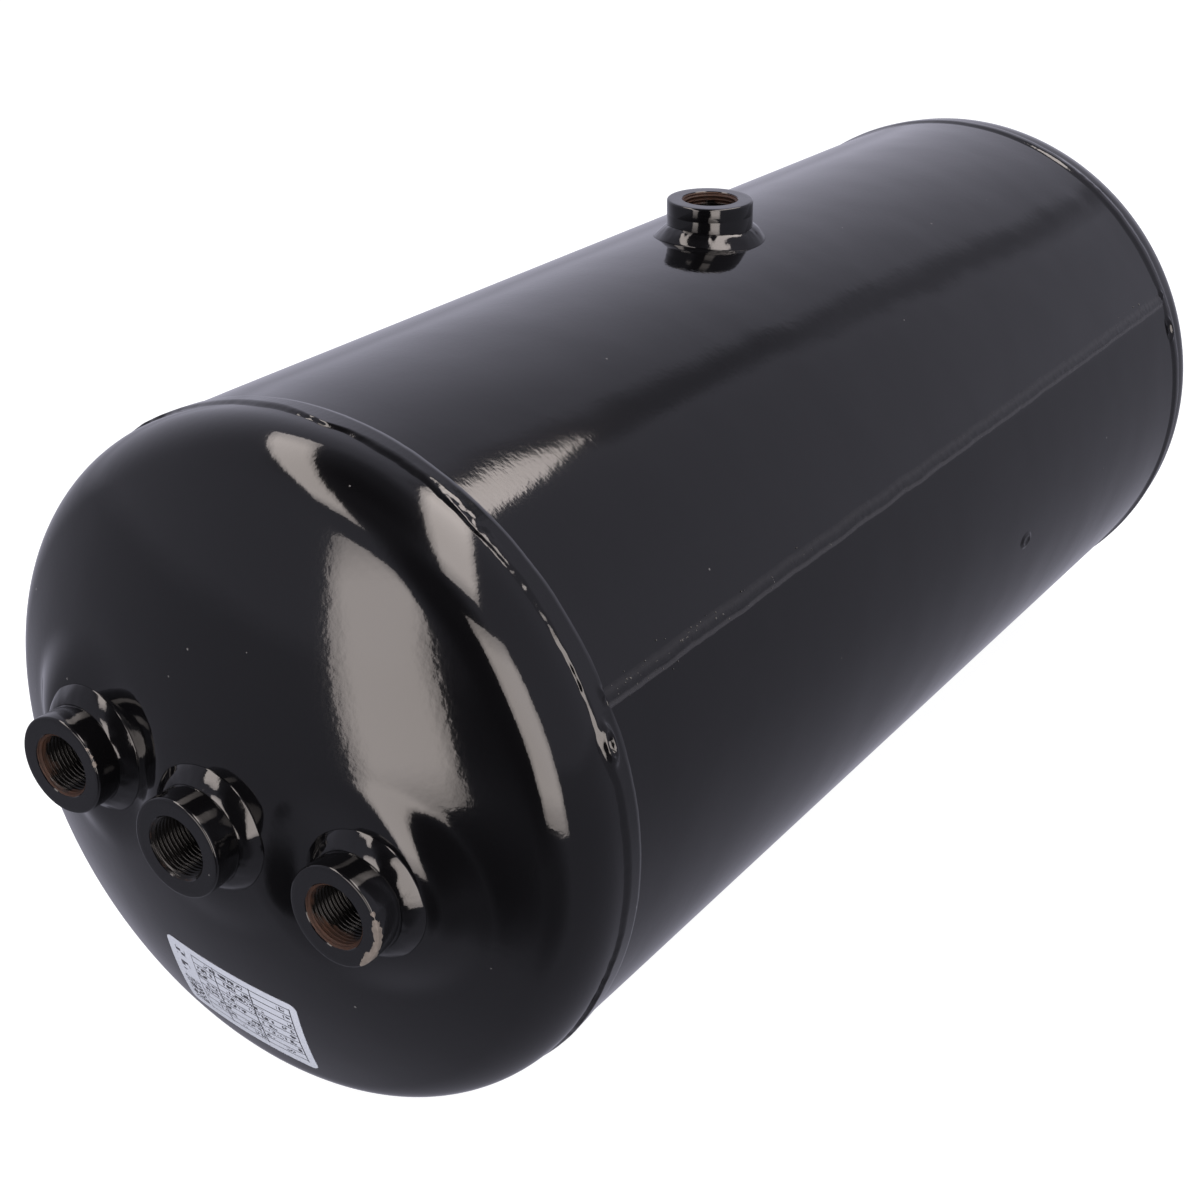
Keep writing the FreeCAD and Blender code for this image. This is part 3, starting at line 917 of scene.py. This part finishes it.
def make_boss_weld(port, seed, lumpy):
    """Smooth fillet collar round a boss, with a few thick runs and a wandering toe."""
    points = []
    for step in range(WELD_STEPS):
        angle = 2 * pi * step / WELD_STEPS
        width = 1 + 0.09 * ring_noise(angle, 1.5, seed) + 0.03 * ring_noise(angle, 5, seed)
        width *= WELD_WIDTH
        height = 1 + 0.14 * ring_noise(angle, 1.3, seed + 3) + 0.03 * ring_noise(angle, 6, seed)
        height *= WELD_HEIGHT
        base = port.ground(BOSS_RADIUS, angle)
        toe = port.ground(BOSS_RADIUS + width, angle)
        for row in range(WELD_ROWS):
            share = row / (WELD_ROWS - 1)
            full = (1 - share ** 1.8) * 0.55 + (1 - share) * 0.45
            radius = BOSS_RADIUS - 0.1 * MM + (width + 0.1 * MM) * share
            belly = sin(pi * share)
            lump = lumpy * MM * belly * ring_noise(angle, 1.9, seed + 20 + 0.8 * share)
            lump += 0.10 * lumpy * MM * belly * ring_noise(angle, 9.0, seed + 40 + 2.5 * share)
            level = port.ground(radius, angle) + height * full + lump - 0.08 * MM * share
            points.append(port.world(radius, angle, level))
        points.append(port.world(BOSS_RADIUS + width - 1 * MM, angle, toe - 1 * MM))
        points.append(port.world(BOSS_RADIUS - 0.1 * MM, angle, base - 1 * MM))
    faces = grid_faces(WELD_STEPS, WELD_ROWS + 2, close_rows=True)
    weld = new_object(f"{port.name}_bead", points, faces, [PAINT_WELD])
    outward_faces(weld)
    return give(weld, "painted_weld", f"{port.name}_weld")


# ---------------------------------------------------------------- label

LABEL_WIDTH = 58 * MM
LABEL_HEIGHT = 38 * MM
LABEL_DROP = 83 * MM
LABEL_CORNER = 3 * MM
LABEL_THICKNESS = 0.18 * MM
_, LEFT_Y, LEFT_Z = MOUNTS["front_port_left"]["pos_m"]
ROW_TURN = atan2(LEFT_Z, LEFT_Y)


def label_film():
    """White film with a ruled form and rows of small generic marks."""
    shader = Shader("label_film", Base_Color=(0.42, 0.44, 0.48, 1), Roughness=0.32)
    flat = shader.node("UVMap", {"uv_map": "film"}).outputs["UV"]
    split = shader.node("SeparateXYZ", Vector=flat)
    across, along = split.outputs["X"], split.outputs["Y"]
    film, ink = (0.40, 0.43, 0.50, 1), (0.012, 0.012, 0.016, 1)

    def both(first, second):
        """1 where two masks are 1."""
        return shader.math("MULTIPLY", first, second)

    def band(value, low, high):
        """1 where a value lies between two limits."""
        return both(shader.math("GREATER_THAN", value, low), shader.math("LESS_THAN", value, high))

    def box(left, right, bottom, top):
        """1 inside a rectangle of the film."""
        return both(band(across, left, right), band(along, bottom, top))

    def any_of(*masks):
        """1 where any mask is 1."""
        total = masks[0]
        for mask in masks[1:]:
            total = shader.math("MAXIMUM", total, mask)
        return total

    def steps(value, count):
        """The number of the step that a value is in."""
        return shader.math("FLOOR", shader.math("MULTIPLY", value, count))

    def squares(wide, tall):
        """A random pattern of printed and blank squares, wide by tall over the film."""
        cell = shader.node("CombineXYZ", X=steps(across, wide), Y=steps(along, tall))
        dots = shader.node("TexWhiteNoise", {"noise_dimensions": "2D"}, Vector=cell.outputs[0])
        return shader.math("GREATER_THAN", dots.outputs["Value"], 0.45)

    rule, rows = 0.009, 10
    form = box(0.05, 0.80, 0.08, 0.92)
    row_place = shader.math("FRACT", shader.math("MULTIPLY", along, rows))
    row_rule = both(shader.math("LESS_THAN", row_place, 0.13), form)
    column_rules = [both(band(across, place, place + rule), form) for place in (0.05, 0.34, 0.62, 0.794)]
    word = shader.node("CombineXYZ", X=shader.math("MULTIPLY", across, 9.0),
                       Y=shader.math("MULTIPLY", steps(along, rows), 3.7))
    words = shader.math("GREATER_THAN", shader.noise(1.0, 0.0, place=word.outputs[0]), 0.47)
    in_row = both(band(row_place, 0.30, 0.82), box(0.07, 0.79, 0.08, 0.92))
    marks = both(both(words, squares(82.0, 4.0 * rows)), in_row)
    code = both(squares(90.0, 59.0), box(0.82, 0.95, 0.10, 0.46))
    bars = both(squares(30.0, 24.0), any_of(box(0.86, 0.93, 0.56, 0.70), box(0.86, 0.94, 0.78, 0.90)))
    printed = any_of(row_rule, *column_rules, marks, code, bars)
    faded = shader.math("MULTIPLY", printed, 0.97)
    shader.wear(Base_Color=shader.mix(faded, film, ink))
    return shader.material


def make_label():
    """Thin film that follows the crown, with rounded corners."""
    columns, rows = 60, 42
    points, flat = [], []
    for layer in (LABEL_THICKNESS, 0.02 * MM):
        for row in range(rows + 1):
            for column in range(columns + 1):
                across, along = column / columns, row / rows
                u, v = (across - 0.5) * LABEL_WIDTH, (along - 0.5) * LABEL_HEIGHT
                over_u = abs(u) - (LABEL_WIDTH / 2 - LABEL_CORNER)
                over_v = abs(v) - (LABEL_HEIGHT / 2 - LABEL_CORNER)
                if over_u > 0 and over_v > 0:
                    reach = max(over_u, over_v) / hypot(over_u, over_v)
                    u -= copysign(over_u * (1 - reach), u)
                    v -= copysign(over_v * (1 - reach), v)
                v -= LABEL_DROP
                y = u * cos(ROW_TURN) - v * sin(ROW_TURN)
                z = u * sin(ROW_TURN) + v * cos(ROW_TURN)
                depth = pressed_depth(crown_depth(hypot(y, z)), y, z)
                points.append((-depth - layer, y, z))
                flat.append((across, along))
    wide, tall = columns + 1, rows + 1
    front = grid_faces(tall, wide, close_columns=False)
    back = [tuple(reversed([corner + wide * tall for corner in face])) for face in front]
    rim = (list(range(wide)) + [row * wide + columns for row in range(1, tall)]
           + [rows * wide + column for column in range(columns - 1, -1, -1)]
           + [row * wide for row in range(rows - 1, 0, -1)])
    sides = [(here, there, there + wide * tall, here + wide * tall)
             for here, there in zip(rim, rim[1:] + rim[:1])]
    label = new_object("blank_data_label", points, front + back + sides, [label_film()])
    spread_flat(label, "film", flat)
    outward_faces(label)
    label.data.set_sharp_from_angle(angle=radians(40))
    return give(label, "label_film", "data_label")


# ---------------------------------------------------------------- studio

CAMERA_PLACE = Vector((-0.6653, -0.4056, 0.3412))
CAMERA_TURN = radians(211.30)
CAMERA_TILT = radians(25.08)
CAMERA_ROLL = radians(0.96)
LENS = 59.53
SENSOR = 36.0
SHIFT = (-0.0886, -0.0313)


def direction(turn, tilt):
    """Unit vector at an azimuth from +X and an elevation, in radians."""
    return Vector((cos(tilt) * cos(turn), cos(tilt) * sin(turn), sin(tilt)))


def make_camera():
    """The camera, a little rolled and shifted."""
    data = bpy.data.cameras.new("camera")
    data.lens, data.sensor_width = LENS, SENSOR
    data.shift_x, data.shift_y = SHIFT
    data.clip_start = 0.01
    back = direction(CAMERA_TURN, CAMERA_TILT)
    right = Vector((0, 0, 1)).cross(back).normalized()
    up = back.cross(right)
    rolled_right = right * cos(CAMERA_ROLL) + up * sin(CAMERA_ROLL)
    rolled_up = up * cos(CAMERA_ROLL) - right * sin(CAMERA_ROLL)
    camera = bpy.data.objects.new("camera", data)
    turn = Matrix((rolled_right, rolled_up, back)).transposed().to_4x4()
    camera.matrix_world = Matrix.Translation(CAMERA_PLACE) @ turn
    bpy.context.scene.collection.objects.link(camera)
    bpy.context.scene.camera = camera


FOCUS = Vector((-0.25, -0.06, 0.09))
SOFTBOX_RADIANCE = 6.2
LEFT_TOP_RADIANCE = 6.9
RIGHT_TOP_RADIANCE = 7.9
FADE_START = 0.30
EDGE_FADE = 0.60
FRONT_LEAN = radians(14)
SOFTBOX_COLOUR = (1.0, 0.90, 0.85)


def facing(back, long_axis):
    """Rotation of a panel whose back points along back, its local X near long_axis."""
    side = (long_axis - back * long_axis.dot(back)).normalized()
    return Matrix((side, back.cross(side), back)).transposed().to_4x4()


# Flags over one end of the right top softbox: (share along, share across, limit of their sum)
END_FLAGS = ((0.992, 0.125, 1.0175), (0.9335, -0.3585, 0.793))
FLAG_FADE = 0.012


def soft_edges(data, flags):
    """Let a softbox fade towards its edges, as its cloth does; flags cut its corners off."""
    data.use_nodes = True
    tree = data.node_tree
    place = add_node(tree, "NewGeometry").outputs["Parametric"]
    split = add_node(tree, "SeparateXYZ", _0=place)
    shares = []
    for axis in ("X", "Y"):
        away = add_math(tree, "ABSOLUTE", add_math(tree, "SUBTRACT", split.outputs[axis], 0.5))
        fade = add_node(tree, "MapRange", {"interpolation_type": "SMOOTHSTEP"}, Value=away,
                        From_Min=FADE_START, From_Max=0.5, To_Min=1.0, To_Max=EDGE_FADE)
        shares.append(fade.outputs["Result"])
    for along, across, limit in flags:
        reach = add_node(tree, "VectorMath", {"operation": "DOT_PRODUCT"}, _0=place, _1=(along, across, 0))
        cover = add_node(tree, "MapRange", Value=reach.outputs["Value"],
                         From_Min=limit - FLAG_FADE, From_Max=limit, To_Min=1.0, To_Max=0.0)
        shares.append(cover.outputs["Result"])
    strength = shares[0]
    for share in shares[1:]:
        strength = add_math(tree, "MULTIPLY", strength, share)
    tree.links.new(strength, tree.nodes["Emission"].inputs["Strength"])


def make_softbox(name, place, back, long_axis, length, width, radiance=SOFTBOX_RADIANCE, flags=()):
    """A rectangular light; length lies along long_axis, and back points away from the tank."""
    data = bpy.data.lights.new(name, "AREA")
    data.shape = "RECTANGLE"
    data.size, data.size_y = length, width
    data.energy = radiance * pi * length * width
    data.color = SOFTBOX_COLOUR
    soft_edges(data, flags)
    lamp = bpy.data.objects.new(name, data)
    lamp.matrix_world = Matrix.Translation(place) @ facing(back, long_axis)
    lamp.visible_camera = False
    bpy.context.scene.collection.objects.link(lamp)


def make_softboxes():
    """Two long softboxes over the tank, and a tall one each side of the camera."""
    up, height, reach = Vector((0, 0, 1)), 1.3, 1.5
    right, left = direction(radians(20), 0), direction(radians(9), 0)
    make_softbox("softbox_right_top", FOCUS + Vector((0.48, -0.435, height)), up, right, 2.36, 0.54,
                 RIGHT_TOP_RADIANCE, END_FLAGS)
    make_softbox("softbox_left_top", FOCUS + Vector((-0.58, 0.73, height)), up, left, 2.10, 0.46,
                 LEFT_TOP_RADIANCE)
    front = direction(radians(172), radians(-1))
    lean = up * cos(FRONT_LEAN) + front.cross(up) * sin(FRONT_LEAN)
    make_softbox("softbox_front", FOCUS + front * reach, front, lean, 1.25, 0.52)
    side = direction(radians(-129), radians(9))
    make_softbox("softbox_right", FOCUS + side * reach, side, up, 1.62, 0.78)


ROOM_HEIGHTS = ((-0.35, 0.29), (-0.03, 0.33), (0.05, 0.46), (0.35, 0.46), (0.7, 0.42), (1.0, 0.40))
# Azimuth, elevation, inner and outer radius in degrees, and the change of the room's level
PALE_WALL = (46, 2, 6, 66, 0.75)
DARK_PATCHES = ((203, 2, 8, 34, -0.97), (203, 34, 8, 30, -0.95), (182, -31, 4, 17, -0.9),
                (212, -30, 4, 28, -0.65), (165, 68, 8, 34, -0.85), (60, 84, 4, 30, -0.75),
                (2, 47, 1, 8, -0.30), (-1, 43, 1, 7, -0.28), (-3, 39, 0.5, 6, -0.28),
                (-4, 36.5, 0.5, 5, -0.26), (-5, 34, 0.5, 4.5, -0.24),
                (-6.5, 31, 0.5, 4.5, -0.24), (-8, 28, 0.5, 4, -0.24), (-9, 25.5, 0.5, 4, -0.24),
                (-10, 23, 0.5, 4, -0.24))


def make_world():
    """A grey room with a pale wall and dark gaps, and a white ground for the camera."""
    world = bpy.data.worlds.new("studio")
    world.use_nodes = True
    tree = world.node_tree
    place = add_node(tree, "TexCoord").outputs["Generated"]
    split = add_node(tree, "SeparateXYZ", _0=place)
    share = add_node(tree, "MapRange", Value=split.outputs["Z"], From_Min=-1.0)
    ramp = add_node(tree, "ValToRGB", Fac=share.outputs["Result"])
    points = ramp.color_ramp.elements
    while len(points) < len(ROOM_HEIGHTS):
        points.new(0.5)
    for point, (height, level) in zip(points, ROOM_HEIGHTS):
        point.position = (height + 1) / 2
        point.color = (0.95 * level, 0.94 * level, 1.12 * level, 1)
    strength = 1.0
    for turn, tilt, inner, outer, change in (PALE_WALL,) + DARK_PATCHES:
        aim = direction(radians(turn), radians(tilt))
        near = add_node(tree, "VectorMath", {"operation": "DOT_PRODUCT"}, _0=place, _1=aim)
        patch = add_node(tree, "MapRange", {"interpolation_type": "SMOOTHSTEP"},
                         Value=near.outputs["Value"], From_Min=cos(radians(outer)),
                         From_Max=cos(radians(inner)), To_Min=1.0, To_Max=1.0 + change)
        strength = add_math(tree, "MULTIPLY", strength, patch.outputs["Result"])
    room = add_node(tree, "Background", Color=ramp.outputs["Color"], Strength=strength)
    seen = add_node(tree, "Background", Color=(1, 1, 1, 1))
    path = add_node(tree, "LightPath")
    mix = add_node(tree, "MixShader", _0=path.outputs["Is Camera Ray"],
                   _1=room.outputs[0], _2=seen.outputs[0])
    tree.links.new(mix.outputs[0], tree.nodes["World Output"].inputs["Surface"])
    bpy.context.scene.world = world


FLOOR_REACH = 12.0


def make_floor():
    """A pale card under the tank that its gloss doesn't mirror."""
    material = bpy.data.materials.new("floor_card")
    material.use_nodes = True
    surface = material.node_tree.nodes["Principled BSDF"]
    surface.inputs["Base Color"].default_value = (0.28, 0.30, 0.31, 1)
    surface.inputs["Emission Color"].default_value = (1, 1, 1, 1)
    surface.inputs["Emission Strength"].default_value = 0.93
    surface.inputs["Roughness"].default_value = 0.9
    surface.inputs["Specular IOR Level"].default_value = 0.0
    signs = ((-1, -1), (1, -1), (1, 1), (-1, 1))
    corners = [(x * FLOOR_REACH, y * FLOOR_REACH, cad_low.z) for x, y in signs]
    floor = new_object("floor", corners, [(0, 1, 2, 3)], [material], smooth=False)
    floor.visible_glossy = False


make_camera()
make_world()
make_floor()
make_softboxes()
make_shell()
make_seam_bead()
make_head("ported_head", "front_head", -1, ported=True)
make_head("plain_head", "rear_head", 1, ported=False)
make_girth_bead("front_girth_bead", "front_girth_weld", -1, 11.0)
make_girth_bead("rear_girth_bead", "rear_girth_weld", 1, 31.0)
PORT_LOOKS = {"front_port_left": (PAINT_WORN, THREAD_RUSTY, 2.0, 0.45),
              "front_port_centre": (PAINT_BOSS, THREAD_CLEAN, 4.0, 0.45),
              "front_port_right": (PAINT_CHIPPED, THREAD_RUSTY, 6.0, 0.45),
              "shell_port": (PAINT_BOSS, THREAD_RUSTY, 8.0, 0.8)}
for port_name, (paint, thread, seed, lumpy) in PORT_LOOKS.items():
    port = PortPlace(port_name)
    make_boss(port, paint, thread)
    make_boss_weld(port, seed, lumpy)
make_blister()
make_label()
bpy.context.scene.view_settings.view_transform = "Standard"
